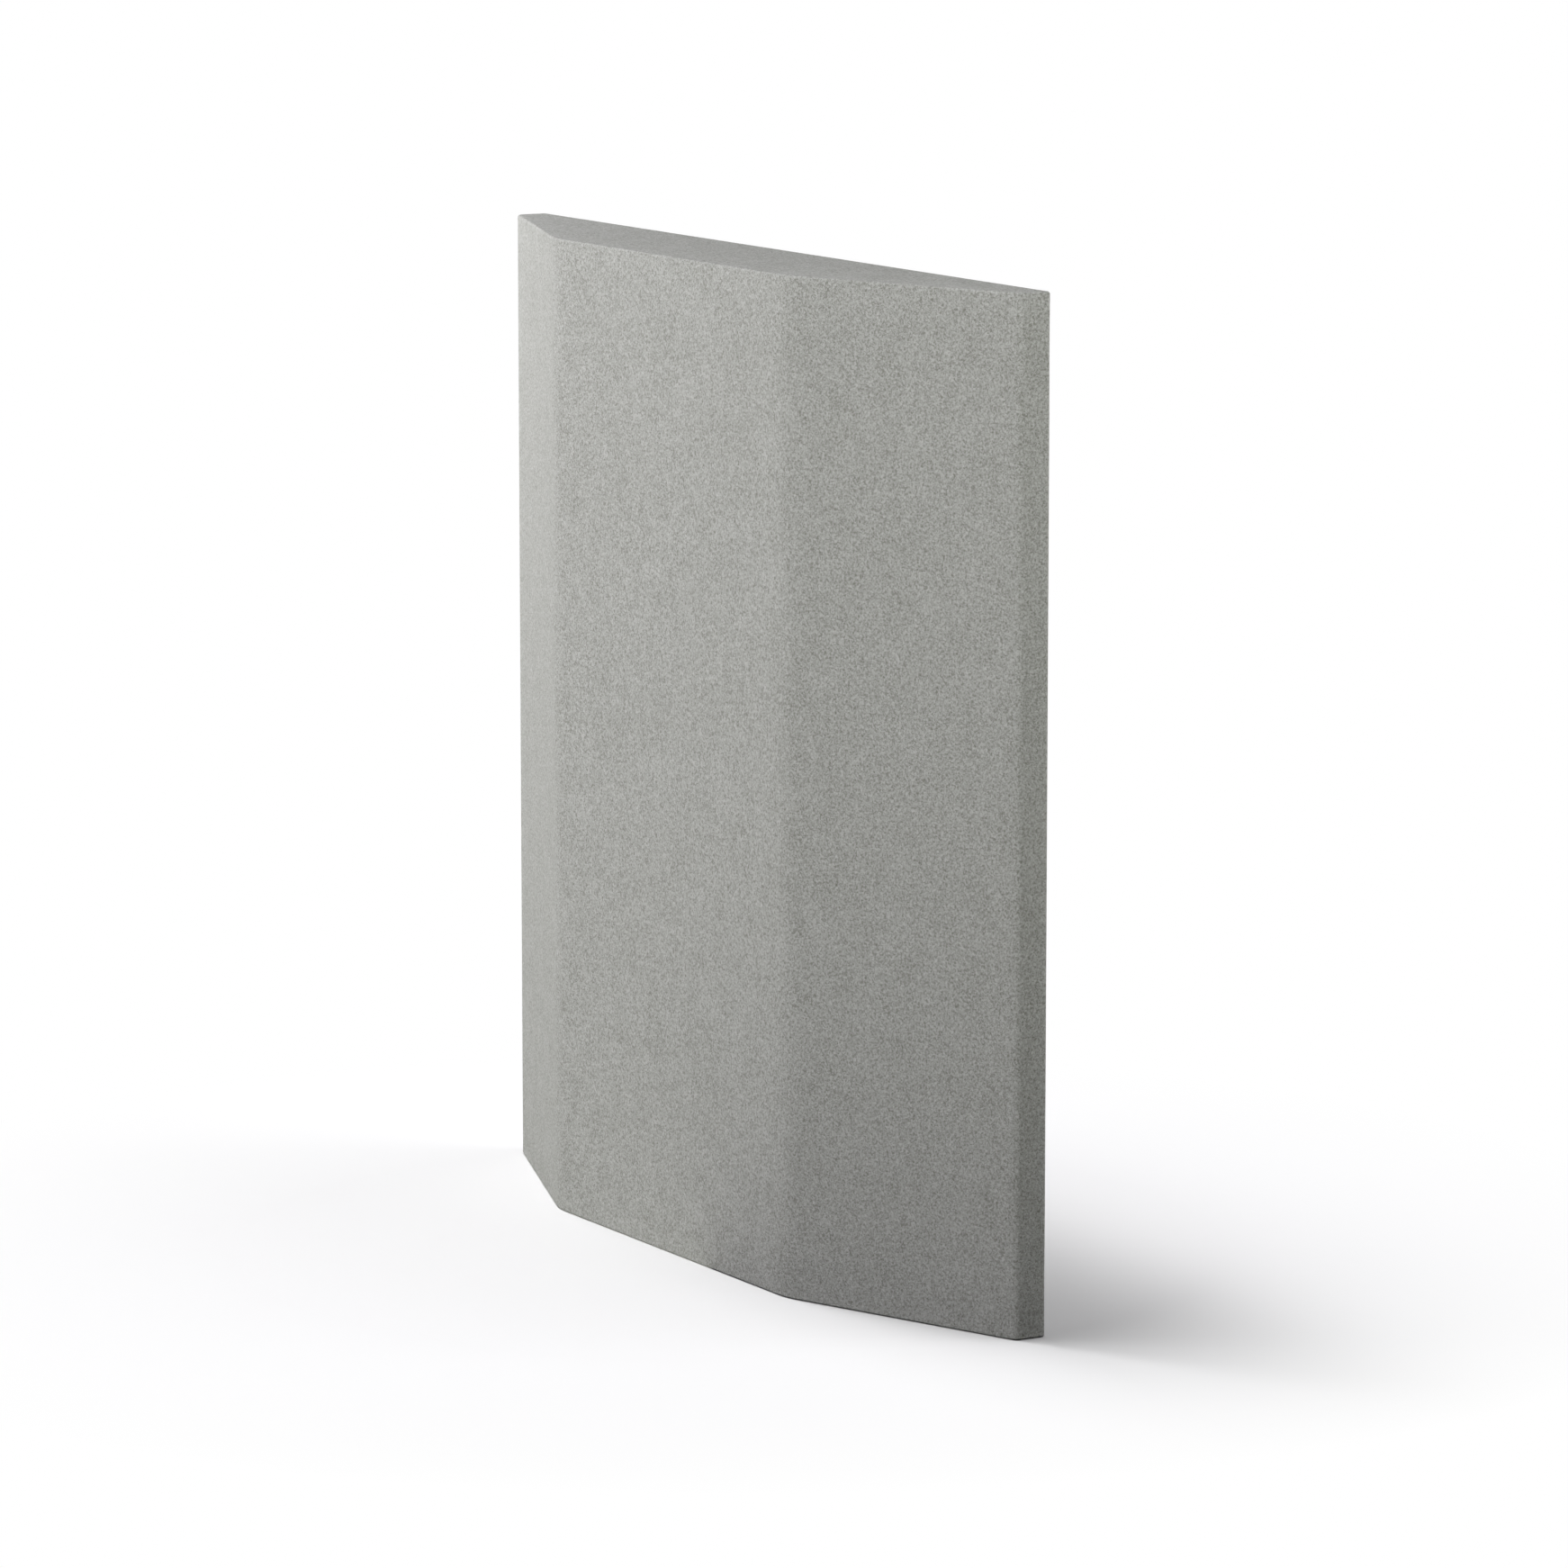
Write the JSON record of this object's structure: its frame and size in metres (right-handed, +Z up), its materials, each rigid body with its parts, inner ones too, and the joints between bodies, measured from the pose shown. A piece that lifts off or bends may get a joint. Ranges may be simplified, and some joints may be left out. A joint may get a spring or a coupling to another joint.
{
  "type": "upholstered relief wall panel",
  "caption": "Square felt-covered sound-absorbing wall panel with a flat back, thin side edges and a shallow bevelled relief, hung on keyhole plates.",
  "frame": {"origin": "on the plane of the lower edge, at the middle of the overall box's width and depth", "axes": "+X to the right of a viewer who faces the relief, +Y from the relief towards the wall, +Z up"},
  "size_m": [0.6, 0.082, 0.6],
  "materials": {
    "felt": "matte",
    "plywood": "matte",
    "beech": "matte",
    "absorber": "matte",
    "fleece": "matte",
    "dust_cloth": "matte",
    "zinc_plated_steel": "satin",
    "staple_wire": "satin",
    "pad_rubber": "matte"
  },
  "bodies": {
    "root": {"frame_top_rail": "plywood", "frame_bottom_rail": "plywood", "frame_left_stile": "plywood", "frame_right_stile": "plywood", "frame_centre_stile": "plywood", "frame_dowels": "beech", "top_former": "plywood", "bottom_former": "plywood", "former_screws": "zinc_plated_steel", "infill_left": "absorber", "infill_right": "absorber", "core_centre_block": "absorber", "core_left_wedge": "absorber", "core_right_wedge": "absorber", "fleece_wrap": "fleece", "cover_front_panel": "felt", "cover_top_cap": "felt", "cover_bottom_cap": "felt", "cover_staples": "staple_wire", "dust_cover": "dust_cloth", "dust_cover_staples": "staple_wire", "hanger_plate_left": "zinc_plated_steel", "hanger_plate_right": "zinc_plated_steel", "hanger_screws": "zinc_plated_steel", "wall_pads": "pad_rubber"}
  },
  "joints": []
}
